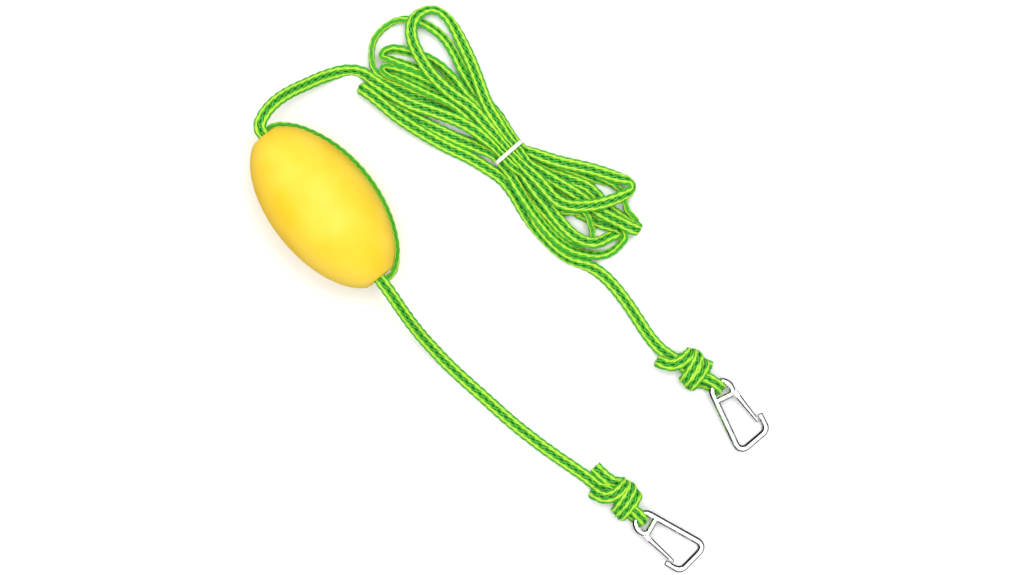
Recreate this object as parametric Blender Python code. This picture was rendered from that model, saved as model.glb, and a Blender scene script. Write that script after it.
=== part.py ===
"""Float line: a flat braided tow line with a foam float, a tied hank and two snap hooks.

Units are metres, +Z is up, and the object lies on the plane z = 0.  The origin is the middle of
the box round the float and the two hooks, on that plane.

One line runs through the whole object.  From the upper hook's knot it runs up into the hank, out
along the floor to the float, down the float's bore, back up outside the float, down the bore again
and along the leader to the lower hook's knot.  Its solids are round tubes of the same section as
the flat braid.
"""

import bmesh
import bpy
from math import cos, pi, radians, sin, sqrt
from mathutils import Matrix, Vector

# ---------------------------------------------------------------- driving dimensions
MM = 0.001
GAP = 0.3 * MM                 # room left between two pieces that touch

LINE_D = 8.0 * MM              # round section of the flat 10.5 x 5.5 line
EYE_LINE_D = 5.6 * MM          # the line pulled tight through a hook's eye

FLOAT_L = 140.0 * MM
FLOAT_D = 80.0 * MM
FLOAT_FLAT_D = 24.0 * MM       # flat ring at each end
FLOAT_BORE_D = 17.0 * MM       # takes two passes of the line
FLOAT_CENTRE = Vector((-0.1465, 0.1120, FLOAT_D / 2))
FLOAT_HEADING = radians(-51.1)  # from the hank's end to the leader's end
BORE_PASS_Z = 4.2 * MM         # each pass lies this far above or below the float's axis
TURN_AZIMUTH = radians(-18.0)  # the outside turn lies this far below the float's equator

HANK_FLOOR = 1.8 * MM
HANK_H = 22.0 * MM
HANK_EDGE = 4.0 * MM
TIE_CENTRE = Vector((-0.0028, 0.1561, 0.0))
TIE_HEADING = radians(-48.8)   # along the hank at its waist
TIE_W = 3.6 * MM
TIE_T = 1.2 * MM
TIE_HALF_SPAN = 13.6 * MM

KNOT_H = 17.0 * MM
KNOT_END_D = 18.0 * MM
TAIL_LENGTH = 14.0 * MM

# One hook, in its own plane: a runs along its leg from the eye, b runs from the leg to the gate.
WIRE_D = 5.0 * MM
CROSSBAR_D = 4.6 * MM
NOSE_TIP_D = 3.8 * MM
LEG_B = WIRE_D / 2             # middle of the leg's wire
NOSE_A, NOSE_B = 30.4 * MM, 29.8 * MM
CORNER_A, CORNER_R = 44.1 * MM, 6.0 * MM
FAR_END_A, FAR_END_R = 51.5 * MM, 5.5 * MM
EYE_MID_A, EYE_MID_B, EYE_R = 0.5 * MM, 10.3 * MM, 7.8 * MM
SWING_A, SWING_B = -0.95 * MM, 10.3 * MM      # where the line passes through the eye
SWING_Z = 8.5 * MM                            # the eye rides on the line under it
HOOK_TILT = radians(6.57)                     # so the far end comes down to the floor
CROSSBAR_A = 6.0 * MM
PIVOT_A, PIVOT_B = 7.0 * MM, 19.3 * MM
GATE_HEADING = radians(13.4)
GATE_L = 28.8 * MM
GATE_HINGE_W, GATE_TIP_W, GATE_T = 4.4 * MM, 2.7 * MM, 5.0 * MM
TONGUE_T = 2.0 * MM
SLOT_T = TONGUE_T + 2 * GAP
TONGUE_FACE_R = 1.9 * MM                      # round face that the plunger bears on
PIN_D = 1.6 * MM
PIN_HEAD_D, PIN_HEAD_T = 2.8 * MM, 0.45 * MM
PIN_CLEARANCE = 0.15 * MM
SPRING_BORE_D, SPRING_BORE_END = 2.2 * MM, 15.0 * MM
PLUNGER_D, PLUNGER_L = 1.6 * MM, 3.6 * MM
SPRING_D, SPRING_WIRE_D, SPRING_TURNS = 1.25 * MM, 0.32 * MM, 7

# Where each hook's line passes through its eye, the leg's heading, and which face is up.
HOOKS = {
    "upper": {"at": (0.1640, -0.0298), "leg": radians(-64.5), "face": 1},
    "lower": {"at": (0.1032, -0.1342), "leg": radians(-29.7), "face": -1},
}
KNOTS = {
    "upper": {"centre": (0.1340, -0.0115), "heading": radians(-36.0), "length": 36.0 * MM,
              "width": 27.0 * MM},
    "lower": {"centre": (0.0821, -0.1148), "heading": radians(-38.0), "length": 30.0 * MM,
              "width": 26.0 * MM},
}

# Routes of the line, chosen by hand, in millimetres.
UPPER_LINE = [(-191.9, 168.3, 44.2), (-194.4, 173.1, 44.4), (-191.8, 181.7, 43.0),
              (-183.5, 193.3, 36.5), (-172.5, 202.3, 27.0), (-161.0, 209.0, 18.0),
              (-149.5, 215.1, 11.0), (-138.9, 219.6, 6.8), (-130.0, 221.7, 5.2),
              (-123.6, 222.5, 5.0)]
LEADER = [(-101.9, 56.7, 35.8), (-98.6, 52.3, 35.2), (-93.0, 44.3, 32.6), (-86.6, 34.3, 27.6),
          (-79.4, 23.5, 21.0), (-71.4, 12.7, 14.4), (-62.4, 2.1, 8.8), (-53.0, -8.3, 5.2),
          (-43.0, -18.0, 4.1), (-33.0, -27.1, 4.1), (-21.7, -37.1, 4.1), (-9.9, -47.8, 4.1),
          (1.9, -58.1, 4.1), (13.8, -67.5, 4.1), (25.6, -76.5, 4.1), (37.2, -84.7, 4.1),
          (47.8, -91.9, 4.1), (58.6, -99.5, 4.1), (68.6, -107.5, 4.3)]
LOWER_LINE = [(67.6, 63.9, 4.3), (73.0, 58.5, 4.1), (79.2, 52.1, 4.1), (88.6, 40.3, 4.1),
              (98.1, 26.3, 4.1), (106.2, 13.9, 4.1), (112.8, 5.5, 4.2), (118.2, 0.1, 4.4)]

# The hank's outline, chosen by hand, in millimetres: the fan of loops, the waist, the small fan.
HANK_OUTLINE = [(-119.0, 228.7), (-114.0, 247.7), (-99.0, 265.7), (-75.0, 274.2),
                (-54.0, 275.2), (-39.0, 261.7), (-27.0, 232.7), (-13.0, 201.7), (-0.5, 174.7),
                (6.2, 163.9), (15.5, 156.3), (35.0, 151.7), (67.0, 145.7), (98.0, 139.2),
                (103.5, 117.7), (102.5, 93.7), (85.0, 75.2), (65.0, 68.4), (52.0, 69.5), (36.0, 75.7),
                (17.0, 96.7), (2.0, 123.7), (-5.5, 139.2), (-11.8, 148.3), (-21.0, 154.2),
                (-39.0, 154.7), (-67.0, 161.2), (-97.0, 179.7), (-125.0, 203.7)]

MATERIALS = {
    "float_foam": ((0.98, 0.80, 0.07), 0.42, 0.0),
    "green_line": ((0.10, 0.52, 0.07), 0.70, 0.0),
    "white_tie": ((0.90, 0.90, 0.88), 0.45, 0.0),
    "polished_steel": ((0.80, 0.81, 0.83), 0.12, 1.0),
    "spring_steel": ((0.55, 0.56, 0.58), 0.25, 1.0),
}


# ---------------------------------------------------------------- shared tools
def clear_scene():
    for item in list(bpy.data.objects):
        bpy.data.objects.remove(item, do_unlink=True)


def material(name):
    colour, roughness, metallic = MATERIALS[name]
    made = bpy.data.materials.get(name) or bpy.data.materials.new(name)
    made.use_nodes = True
    shader = made.node_tree.nodes["Principled BSDF"]
    shader.inputs["Base Color"].default_value = (*colour, 1.0)
    shader.inputs["Roughness"].default_value = roughness
    shader.inputs["Metallic"].default_value = metallic
    return made


def add_object(name, data, look, parent=None):
    item = bpy.data.objects.new(name, data)
    bpy.context.scene.collection.objects.link(item)
    item.parent = parent
    if look:
        data.materials.append(material(look))
    return item


def add_mesh(name, builder, look, parent=None):
    """Turn a finished bmesh into an object with smooth faces and sharp corners."""
    bmesh.ops.recalc_face_normals(builder, faces=builder.faces)
    mesh = bpy.data.meshes.new(name)
    builder.to_mesh(mesh)
    builder.free()
    mesh.shade_smooth()
    mesh.set_sharp_from_angle(angle=radians(35))
    return add_object(name, mesh, look, parent)


def add_frame(name, matrix):
    """An empty that carries the pieces of one moving body."""
    empty = add_object(name, None, None)
    empty.matrix_world = matrix
    return empty


def arc(centre, radius, start, end, steps):
    """Points on an arc in a plane, both ends included."""
    turns = [start + (end - start) * i / steps for i in range(steps + 1)]
    return [(centre[0] + radius * cos(t), centre[1] + radius * sin(t)) for t in turns]


def filleted(corners, steps=5):
    """A polyline through (x, y, radius) corners, with each corner rounded by an arc."""
    points = [Vector(corners[0][:2])]
    for before, here, after in zip(corners, corners[1:], corners[2:]):
        corner = Vector(here[:2])
        inward = (Vector(before[:2]) - corner).normalized()
        outward = (Vector(after[:2]) - corner).normalized()
        half = inward.angle(outward) / 2
        reach = here[2] / sin(half)
        middle = corner + (inward + outward).normalized() * reach
        first = (corner + inward * reach * cos(half) - middle).normalized()
        last = (corner + outward * reach * cos(half) - middle).normalized()
        points += [middle + first.slerp(last, i / steps) * here[2] for i in range(steps + 1)]
    points.append(Vector(corners[-1][:2]))
    return points


def smooth_route(route, spacing, closed=False):
    """Points at an even spacing on a smooth curve through the route's own points."""
    route = [Vector(p) for p in route]
    count = len(route)
    if closed:
        around = [route[i % count] for i in range(-1, count + 2)]
    else:
        around = [2 * route[0] - route[1], *route, 2 * route[-1] - route[-2]]
    fine = []
    for p0, p1, p2, p3 in zip(around, around[1:], around[2:], around[3:]):
        for i in range(12):
            t = i / 12
            fine.append(0.5 * (2 * p1 + (p2 - p0) * t + (2 * p0 - 5 * p1 + 4 * p2 - p3) * t**2
                               + (3 * p1 - p0 - 3 * p2 + p3) * t**3))
    fine.append(around[-2])
    lengths = [0.0]
    for a, b in zip(fine, fine[1:]):
        lengths.append(lengths[-1] + (b - a).length)
    steps = max(2, round(lengths[-1] / spacing))
    even, at = [fine[0]], 0
    for i in range(1, steps):
        want = lengths[-1] * i / steps
        while lengths[at + 1] < want:
            at += 1
        even.append(fine[at].lerp(fine[at + 1], (want - lengths[at]) / (lengths[at + 1] - lengths[at])))
    return even if closed else even + [fine[-1]]


def tube(name, points, diameter, look="green_line", parent=None, sides_level=2):
    """A round cord: a curve with a bevel and filled ends."""
    curve = bpy.data.curves.new(name, "CURVE")
    curve.dimensions = "3D"
    curve.bevel_depth = diameter / 2
    curve.bevel_resolution = sides_level
    curve.use_fill_caps = True
    spline = curve.splines.new("POLY")
    spline.points.add(len(points) - 1)
    for point, place in zip(spline.points, points):
        point.co = (*place, 1.0)
    return add_object(name, curve, look, parent)


def millimetres(route):
    return [Vector(p) * MM for p in route]


def millimetres_2d(outline):
    return [(x * MM, y * MM) for x, y in outline]


def turned(name, profile, segments, look, parent=None, closed=False):
    """Turn a profile of (x, radius) round the X axis; radius 0 closes an end."""
    builder = bmesh.new()
    rings = []
    for x, radius in profile:
        if radius == 0:
            rings.append([builder.verts.new((x, 0, 0))] * segments)
            continue
        turns = [2 * pi * i / segments for i in range(segments)]
        rings.append([builder.verts.new((x, radius * cos(t), radius * sin(t))) for t in turns])
    pairs = list(zip(rings, rings[1:]))
    if closed:
        pairs.append((rings[-1], rings[0]))
    for low, high in pairs:
        for i in range(segments):
            j = (i + 1) % segments
            corners = list(dict.fromkeys((low[i], low[j], high[j], high[i])))
            builder.faces.new(corners)
    return add_mesh(name, builder, look, parent)


def plate(name, outline, low, high, look, parent=None):
    """An outline in the XY plane, extruded from low to high."""
    builder = bmesh.new()
    face = builder.faces.new([builder.verts.new((p[0], p[1], low)) for p in outline])
    grown = bmesh.ops.extrude_face_region(builder, geom=[face])["geom"]
    for item in grown:
        if isinstance(item, bmesh.types.BMVert):
            item.co.z = high
    return add_mesh(name, builder, look, parent)


def swept_wire(name, path, diameters, look, parent=None, sides=12):
    """A round wire that follows a path in the XY plane, with flat ends."""
    builder = bmesh.new()
    rings = []
    for i, here in enumerate(path):
        before, after = path[max(i - 1, 0)], path[min(i + 1, len(path) - 1)]
        along = (after - before).normalized()
        side = Vector((-along.y, along.x, 0))
        ring = []
        for k in range(sides):
            turn = 2 * pi * k / sides
            out = side * cos(turn) + Vector((0, 0, 1)) * sin(turn)
            ring.append(builder.verts.new(Vector((*here, 0)) + out * diameters[i] / 2))
        rings.append(ring)
    for low, high in zip(rings, rings[1:]):
        for k in range(sides):
            j = (k + 1) % sides
            builder.faces.new((low[k], low[j], high[j], high[k]))
    builder.faces.new(rings[0])
    builder.faces.new(rings[-1])
    return add_mesh(name, builder, look, parent)


def boolean(target, tool, operation):
    """Union with, or cut by, another object, which is then kept out of the model."""
    step = target.modifiers.new(operation.lower(), "BOOLEAN")
    step.operation = operation
    step.object = tool
    tool.hide_render = True
    tool.display_type = "WIRE"


def round_tool(name, diameter, low, high, place, axis="Z", parent=None, segments=16):
    """A plain round cutter, centred on place, with its ends at low and high along its axis."""
    profile = [(low, 0), (low, diameter / 2), (high, diameter / 2), (high, 0)]
    tool = turned(name, profile, segments, None, parent)
    turn = Matrix.Rotation(-pi / 2, 4, "Y") if axis == "Z" else Matrix.Identity(4)
    tool.matrix_local = Matrix.Translation(Vector(place)) @ turn
    return tool


# ---------------------------------------------------------------- float
def float_frame():
    return Matrix.Translation(FLOAT_CENTRE) @ Matrix.Rotation(FLOAT_HEADING, 4, "Z")


def float_radius(x):
    """Outer radius at x along the float: an ellipse, cut where it reaches the flat's radius."""
    half_axis = (FLOAT_L / 2) / sqrt(1 - (FLOAT_FLAT_D / FLOAT_D) ** 2)
    return FLOAT_D / 2 * sqrt(1 - (x / half_axis) ** 2)


def build_float(stations=22, segments=40):
    turns = [pi * i / stations for i in range(stations + 1)]
    xs = [-FLOAT_L / 2 * cos(t) for t in turns]
    outer = [(x, float_radius(x)) for x in xs]
    bore = [(FLOAT_L / 2, FLOAT_BORE_D / 2), (-FLOAT_L / 2, FLOAT_BORE_D / 2)]
    body = turned("float_body", outer + bore, segments, "float_foam", closed=True)
    body.matrix_world = float_frame()


# ---------------------------------------------------------------- line
def float_turn_route():
    """Down the bore, back up outside the float, and down the bore again, in the float's frame."""
    end = FLOAT_L / 2
    first_pass = [(-end, 0, BORE_PASS_Z), (0, 0, BORE_PASS_Z), (end, 0, BORE_PASS_Z)]
    lower_turn = [(75.6, 1.0, 4.2), (79.4, 5.6, 3.2), (79.4, 12.4, 0.6), (75.2, 18.6, -3.2)]
    flank = []
    stand_off = LINE_D / 2 + 2 * GAP
    for x in [62, 48, 32, 16, 0, -16, -32, -48, -60]:
        x *= MM
        rise = (float_radius(x + 0.1 * MM) - float_radius(x - 0.1 * MM)) / (0.2 * MM)
        normal = Vector((-rise, 1)).normalized() * stand_off
        reach = float_radius(x) + normal.y
        flank.append((x + normal.x, reach * cos(TURN_AZIMUTH), reach * sin(TURN_AZIMUTH)))
    upper_turn = [(-75.6, 16.4, -6.0), (-80.0, 9.0, -5.2), (-77.2, 2.0, -4.4)]
    second_pass = [(-end, 0, -BORE_PASS_Z), (0, 0, -BORE_PASS_Z), (end, 0, -BORE_PASS_Z)]
    outside = millimetres(lower_turn) + [Vector(p) for p in flank] + millimetres(upper_turn)
    return first_pass, outside, second_pass


def build_float_turn():
    first, outside, second = float_turn_route()
    reach_in = 3 * MM
    start = Vector(first[-1]) - Vector((reach_in, 0, 0))
    finish = Vector(second[0]) + Vector((reach_in, 0, 0))
    loop = smooth_route([start, Vector(first[-1]), *outside, Vector(second[0]), finish], 7 * MM)
    points = [Vector(first[0]), *loop, Vector(second[-1])]
    frame = float_frame()
    tube("line_float_turn", [frame @ p for p in points], LINE_D)


def build_free_line():
    spacing = 2.4 * LINE_D
    tube("line_upper_run", smooth_route(millimetres(UPPER_LINE), 0.6 * spacing), LINE_D)
    tube("line_leader", smooth_route(millimetres(LEADER), spacing), LINE_D)
    tube("line_lower_run", smooth_route(millimetres(LOWER_LINE), spacing), LINE_D)


def build_hank():
    flat = [(x * MM, y * MM, 0) for x, y in HANK_OUTLINE]
    outline = smooth_route(flat, 14 * MM, closed=True)
    solid = plate("line_hank", outline, HANK_FLOOR, HANK_FLOOR + HANK_H, "green_line")
    edge = solid.modifiers.new("rounded edges", "BEVEL")
    edge.width = HANK_EDGE
    edge.segments = 3
    edge.limit_method = "ANGLE"
    edge.angle_limit = radians(60)


def build_tie():
    """A band round the hank's waist: a rounded frame, extruded by the band's width."""
    low, high = 0.2 * MM, HANK_FLOOR + HANK_H + GAP + TIE_T
    corner = 6.0 * MM
    mid = (low + high) / 2
    across, up = TIE_HALF_SPAN + TIE_T, (high - low) / 2
    loops = []
    for inset in (0, TIE_T):
        w, h, r = across - inset, up - inset, corner - inset
        loop = []
        for sx, sy, start in ((1, 1, 0), (-1, 1, pi / 2), (-1, -1, pi), (1, -1, 1.5 * pi)):
            loop += arc((sx * (w - r), sy * (h - r)), r, start, start + pi / 2, 4)
        loops.append(loop)
    builder = bmesh.new()
    rings = [[builder.verts.new((x, y, z)) for y, z in loop]
             for loop in loops for x in (-TIE_W / 2, TIE_W / 2)]
    outer_low, outer_high, inner_low, inner_high = rings
    count = len(outer_low)
    for a, b in ((outer_low, outer_high), (outer_high, inner_high),
                 (inner_high, inner_low), (inner_low, outer_low)):
        for i in range(count):
            j = (i + 1) % count
            builder.faces.new((a[i], a[j], b[j], b[i]))
    band = add_mesh("hank_tie", builder, "white_tie")
    place = Matrix.Translation(TIE_CENTRE + Vector((0, 0, mid)))
    band.matrix_world = place @ Matrix.Rotation(TIE_HEADING, 4, "Z")


def build_knot(which):
    """A plain barrel for the knot, with flat ends where the line comes in and the loop goes out."""
    facts = KNOTS[which]
    half, wide, end = facts["length"] / 2, facts["width"] / 2, KNOT_END_D / 2
    stations = [(-1.0, end), (-0.85, 0.82 * wide), (-0.45, wide), (0.0, 0.96 * wide),
                (0.45, wide), (0.85, 0.82 * wide), (1.0, end)]
    profile = [(-half, 0)] + [(s * half, r) for s, r in stations] + [(half, 0)]
    knot = turned(f"knot_{which}", profile, 20, "green_line")
    squash = Matrix.Diagonal((1, 1, KNOT_H / facts["width"], 1))
    knot.data.transform(squash)
    place = Matrix.Translation(Vector((*facts["centre"], KNOT_H / 2 + GAP)))
    knot.matrix_world = place @ Matrix.Rotation(facts["heading"], 4, "Z")


def knot_point(which, along, across, height):
    """A point in world, given along and across the knot from its centre."""
    facts = KNOTS[which]
    turn = Matrix.Rotation(facts["heading"], 3, "Z")
    flat = turn @ Vector((along, across, 0))
    return Vector((*facts["centre"], height)) + flat


def build_eye_loop(which):
    """The line from the knot, over the eye's wire, down through the eye and back under it."""
    swing = Vector((*HOOKS[which]["at"], 0))
    centre = Vector((*KNOTS[which]["centre"], 0))
    out = (swing - centre).normalized()
    side = Vector((-out.y, out.x, 0))
    wire = swing - out * (SWING_A - EYE_MID_A + EYE_R)
    wire_z = SWING_Z + (swing - wire).length * sin(HOOK_TILT)
    bend = (WIRE_D + EYE_LINE_D) / 2 + 2 * GAP
    start = KNOTS[which]["length"] / 2 + 2.4 * MM
    spread = 3.4 * MM
    lean = 0.8 * MM
    upper_z, lower_z = wire_z + bend, wire_z - bend
    route = [knot_point(which, start, spread, upper_z - 2.6 * MM)]
    route += [wire - out * 2.2 * MM + side * 0.6 * spread + Vector((0, 0, upper_z - 0.1 * MM))]
    for i in range(7):
        turn = pi / 2 - pi * i / 6
        drift = side * lean * cos(pi * i / 6)
        route.append(wire + out * bend * cos(turn) + drift + Vector((0, 0, wire_z + bend * sin(turn))))
    route += [wire - out * 2.2 * MM - side * 0.6 * spread + Vector((0, 0, lower_z))]
    route += [knot_point(which, start, -spread, lower_z + 0.4 * MM)]
    tube(f"line_eye_loop_{which}", smooth_route(route, 2.6 * MM), EYE_LINE_D)


def build_tail():
    """The line's own end, beside the leader, where it comes out of the lower knot."""
    start = KNOTS["lower"]["length"] / 2 + GAP + 0.2 * MM
    across = 6.6 * MM
    height = LINE_D / 2 + 0.2 * MM
    route = [knot_point("lower", -start - TAIL_LENGTH * t, across + 1.2 * MM * t * t, height)
             for t in (0, 0.5, 1)]
    tube("line_tail_lower", smooth_route(route, 5 * MM), LINE_D)


# ---------------------------------------------------------------- hook
def hook_frame_matrix(which):
    """Hook plane to world: origin where the line passes through the eye, z out of the plane."""
    facts = HOOKS[which]
    heading = Vector((cos(facts["leg"]), sin(facts["leg"]), 0))
    face = Vector((0, 0, facts["face"]))
    across = face.cross(heading)
    turn = Matrix((heading, across, face)).transposed().to_4x4()
    tilt = Matrix.Rotation(facts["face"] * HOOK_TILT, 4, "Y")
    return Matrix.Translation(Vector((*facts["at"], SWING_Z))) @ turn @ tilt


def in_hook(a, b):
    """From the hook's drawing to its own frame, whose origin is the swing axis."""
    return Vector((a - SWING_A, b - SWING_B))


def gate_matrix():
    place = in_hook(PIVOT_A, PIVOT_B)
    return Matrix.Translation((*place, 0)) @ Matrix.Rotation(GATE_HEADING, 4, "Z")


def build_hook_frame(which, parent):
    """Nose, far end, leg and eye in one bent wire, a crossbar, and a tongue for the gate."""
    bend = filleted([(NOSE_A, NOSE_B, 0), (CORNER_A, NOSE_B, CORNER_R),
                     (FAR_END_A, LEG_B, FAR_END_R), (EYE_MID_A, LEG_B, 0)])
    eye = arc((EYE_MID_A, EYE_MID_B), EYE_R, -pi / 2, -1.5 * pi, 10)
    path = [in_hook(*p) for p in bend[:-1]] + [in_hook(*p) for p in eye]
    diameters = [NOSE_TIP_D, 4.4 * MM] + [WIRE_D] * (len(path) - 2)
    frame = swept_wire(f"hook_frame_{which}", path, diameters, "polished_steel", parent)

    bar_corners = [(0.1, 18.1, 0), (CROSSBAR_A / MM, 18.1, 3.4), (CROSSBAR_A / MM, 3.2, 0)]
    bar_path = [in_hook(*p) for p in filleted([tuple(c * MM for c in k) for k in bar_corners], 4)]
    bar = swept_wire(f"crossbar_{which}", bar_path, [CROSSBAR_D] * len(bar_path), None, parent)
    boolean(frame, bar, "UNION")

    clear_d = GATE_HINGE_W + 4 * GAP
    for label, low, high in (("top", TONGUE_T / 2, WIRE_D), ("bottom", -WIRE_D, -TONGUE_T / 2)):
        cut = round_tool(f"cheek_room_{label}_{which}", clear_d, low, high,
                         (*in_hook(PIVOT_A, PIVOT_B), 0), parent=parent, segments=20)
        boolean(frame, cut, "DIFFERENCE")

    root = [(-0.8, 2.1), (-3.2, 1.2), (-4.4, -1.6), (-2.4, -3.4), (0.3, -2.1)]
    outline = arc((0, 0), TONGUE_FACE_R, -radians(65), radians(85), 8) + millimetres_2d(root)
    tongue = plate(f"tongue_{which}", outline, -TONGUE_T / 2 - 0.02 * MM,
                   TONGUE_T / 2 + 0.02 * MM, None, parent)
    tongue.matrix_local = gate_matrix()
    boolean(frame, tongue, "UNION")

    hole = round_tool(f"pin_hole_{which}", PIN_D + 2 * PIN_CLEARANCE, -WIRE_D, WIRE_D,
                      (*in_hook(PIVOT_A, PIVOT_B), 0), parent=parent)
    boolean(frame, hole, "DIFFERENCE")


def build_gate(which, parent):
    """A tapered bar, forked at the hinge, with a blind bore for the spring and the plunger."""
    hinge_r, tip = GATE_HINGE_W / 2, GATE_TIP_W / 2
    outline = arc((0, 0), hinge_r, pi / 2, 1.5 * pi, 8)
    outline += [(6 * MM, -0.85 * hinge_r), (GATE_L - 1.2 * MM, -tip), (GATE_L, -0.45 * tip),
                (GATE_L, 0.45 * tip), (GATE_L - 1.2 * MM, tip), (6 * MM, 0.85 * hinge_r)]
    gate = plate(f"hook_gate_{which}", outline, -GATE_T / 2, GATE_T / 2, "polished_steel", parent)
    edge = gate.modifiers.new("rounded edges", "BEVEL")
    edge.width = 0.7 * MM
    edge.segments = 2
    edge.limit_method = "ANGLE"
    edge.angle_limit = radians(60)

    slot_end = 3.0 * MM
    slot_outline = [(-4 * MM, -4 * MM), (slot_end, -4 * MM), (slot_end, 4 * MM), (-4 * MM, 4 * MM)]
    slot = plate(f"gate_slot_{which}", slot_outline, -SLOT_T / 2, SLOT_T / 2, None, parent)
    boolean(gate, slot, "DIFFERENCE")
    hole = round_tool(f"gate_pin_hole_{which}", PIN_D + 2 * PIN_CLEARANCE, -GATE_T, GATE_T,
                      (0, 0, 0), parent=parent)
    boolean(gate, hole, "DIFFERENCE")
    bore = round_tool(f"gate_spring_bore_{which}", SPRING_BORE_D, slot_end - 1 * MM,
                      SPRING_BORE_END, (0, 0, 0), axis="X", parent=parent)
    boolean(gate, bore, "DIFFERENCE")


def build_pin(which, parent):
    """The rivet through the gate's fork and the frame's tongue, with a low head at each end."""
    shaft, head = PIN_D / 2, PIN_HEAD_D / 2
    low = GATE_T / 2 + PIN_CLEARANCE
    high = low + PIN_HEAD_T
    half = [(low, shaft), (low, head), (high - 0.15 * MM, head), (high, 0.6 * head), (high, 0)]
    profile = [(-x, r) for x, r in reversed(half)] + half
    pin = turned(f"hook_hinge_pin_{which}", profile, 16, "polished_steel", parent)
    place = Matrix.Translation((*in_hook(PIVOT_A, PIVOT_B), 0))
    pin.matrix_local = place @ Matrix.Rotation(-pi / 2, 4, "Y")


def build_plunger(which, parent):
    """The small plunger that the spring pushes against the tongue's round face."""
    start = TONGUE_FACE_R + GAP
    r = PLUNGER_D / 2
    profile = [(start, 0), (start, 0.8 * r), (start + 0.2 * MM, r),
               (start + PLUNGER_L, r), (start + PLUNGER_L, 0)]
    turned(f"hook_gate_plunger_{which}", profile, 12, "spring_steel", parent)


def build_spring(which, parent):
    """The coil that closes the gate, from the plunger to the end of its bore."""
    start = TONGUE_FACE_R + GAP + PLUNGER_L + GAP + SPRING_WIRE_D / 2
    finish = SPRING_BORE_END - GAP - SPRING_WIRE_D / 2
    steps = SPRING_TURNS * 10
    points = []
    for i in range(steps + 1):
        turn = 2 * pi * SPRING_TURNS * i / steps
        x = start + (finish - start) * i / steps
        points.append(Vector((x, SPRING_D / 2 * cos(turn), SPRING_D / 2 * sin(turn))))
    tube(f"hook_gate_spring_{which}", points, SPRING_WIRE_D, "spring_steel", parent, 1)


def build_hook(which):
    frame_axis = add_frame(f"hook_swing_{which}", hook_frame_matrix(which))
    build_hook_frame(which, frame_axis)
    build_pin(which, frame_axis)
    gate_axis = add_frame(f"gate_hinge_{which}", hook_frame_matrix(which) @ gate_matrix())
    build_gate(which, gate_axis)
    build_plunger(which, gate_axis)
    build_spring(which, gate_axis)


def main():
    clear_scene()
    build_float()
    build_float_turn()
    build_free_line()
    build_hank()
    build_tie()
    for which in HOOKS:
        build_knot(which)
        build_eye_loop(which)
        build_hook(which)
    build_tail()


main()
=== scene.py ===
"""Looks of the float line: a flat braided tow line, a foam float, a tied hank and two snap hooks.

Route tables are in millimetres.  Everything becomes metres when a mesh is made.
"""

from math import cos, pi, radians, sin, sqrt

import bmesh
import bpy
import numpy as np
from mathutils import Matrix, Vector


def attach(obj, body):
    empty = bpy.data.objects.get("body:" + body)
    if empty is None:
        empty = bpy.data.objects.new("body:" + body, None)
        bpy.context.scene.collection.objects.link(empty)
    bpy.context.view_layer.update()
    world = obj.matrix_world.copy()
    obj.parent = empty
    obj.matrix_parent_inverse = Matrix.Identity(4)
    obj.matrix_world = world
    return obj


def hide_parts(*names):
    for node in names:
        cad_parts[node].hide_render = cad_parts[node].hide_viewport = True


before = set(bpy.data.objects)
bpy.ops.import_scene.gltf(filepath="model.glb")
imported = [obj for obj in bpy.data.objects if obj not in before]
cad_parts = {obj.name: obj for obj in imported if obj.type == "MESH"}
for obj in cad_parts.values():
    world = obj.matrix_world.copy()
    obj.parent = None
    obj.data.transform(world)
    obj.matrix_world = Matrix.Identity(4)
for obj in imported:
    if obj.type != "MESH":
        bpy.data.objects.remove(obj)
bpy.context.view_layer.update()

MM = 0.001
ROOT = "float_line"

# ---------------------------------------------------------------- sizes, as in the solids
FLOAT_L, FLOAT_D, FLOAT_FLAT_D, FLOAT_BORE_D = 140.0, 80.0, 24.0, 17.0
FLOAT_CENTRE = (-146.5, 112.0, 40.0)
FLOAT_HEADING = radians(-51.1)
BORE_PASS_R = 4.2
TURN_AZIMUTH, TURN_DROP = radians(-18.0), radians(-12.0)    # the solid turn has no drop
TIE_CENTRE = np.array([-2.8, 156.1])
TIE_HEADING = radians(-48.8)
WIRE_D = 5.0
PIVOT_A, PIVOT_B, GATE_HEADING = 7.0, 19.3, radians(13.4)
GATE_L, GATE_HINGE_W, GATE_TIP_W, GATE_T = 28.8, 4.4, 2.7, 5.0
GATE_SLOT_END, SLOT_HALF, PIN_HOLE_R = 3.0, 1.3, 0.95
SPRING_BORE_R, SPRING_BORE_END = 1.1, 15.0
EYE_MID_A, EYE_R = 0.5, 7.8
SWING_A, SWING_B, SWING_Z = -0.95, 10.3, 8.5
HOOK_TILT = radians(6.57)
HOOKS = {
    "upper": {"at": (164.0, -29.8), "leg": radians(-64.5), "face": 1},
    "lower": {"at": (103.2, -134.2), "leg": radians(-29.7), "face": -1},
}
KNOTS = {
    "upper": {"centre": (134.0, -11.5), "heading": radians(-36.0), "half": 18.0},
    "lower": {"centre": (82.1, -114.8), "heading": radians(-38.0), "half": 15.0},
}

# ---------------------------------------------------------------- the braid
HALF_W, HALF_T = 5.2, 2.75           # outside of the flat line
WAIST_HALF_W, WAIST_HALF_T = 3.3, 2.8
EYE_HALF_W, EYE_HALF_T = 4.8, 2.5
STITCH = 13.8                        # two strands of a column cross twice in this length
STRAND_HALF_T = 0.62
WEAVE = 0.36                         # how far a strand rises over and dips under its partner
RING = 1.3                           # spacing of the strands' rings
CORE_INSET, CORE_SIDES = 1.7, 8
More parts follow.
